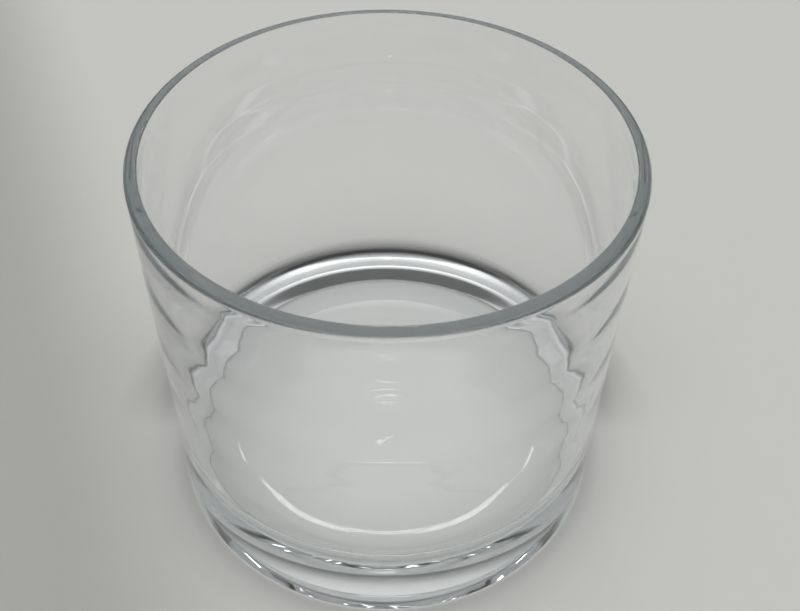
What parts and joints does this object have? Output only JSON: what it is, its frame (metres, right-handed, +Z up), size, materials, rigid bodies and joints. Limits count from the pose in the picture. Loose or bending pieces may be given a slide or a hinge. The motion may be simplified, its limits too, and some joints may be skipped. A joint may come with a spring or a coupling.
{
  "type": "crystallizing dish",
  "caption": "Tall straight-sided round dish of clear glass, open at the top, with a thick base that sweeps up into its wall and a fire-polished rim.",
  "frame": {"origin": "centre of the plane that the dish stands on, under the middle of its base", "axes": "+Z up along the axis of the dish, towards its open mouth; X and Y are any two level directions, because the dish is round"},
  "size_m": [0.2, 0.2, 0.18],
  "materials": {
    "clear_glass": "clear, polished, with a faint cool tint along its rim"
  },
  "bodies": {
    "root": {"dish": "clear_glass"}
  },
  "joints": []
}
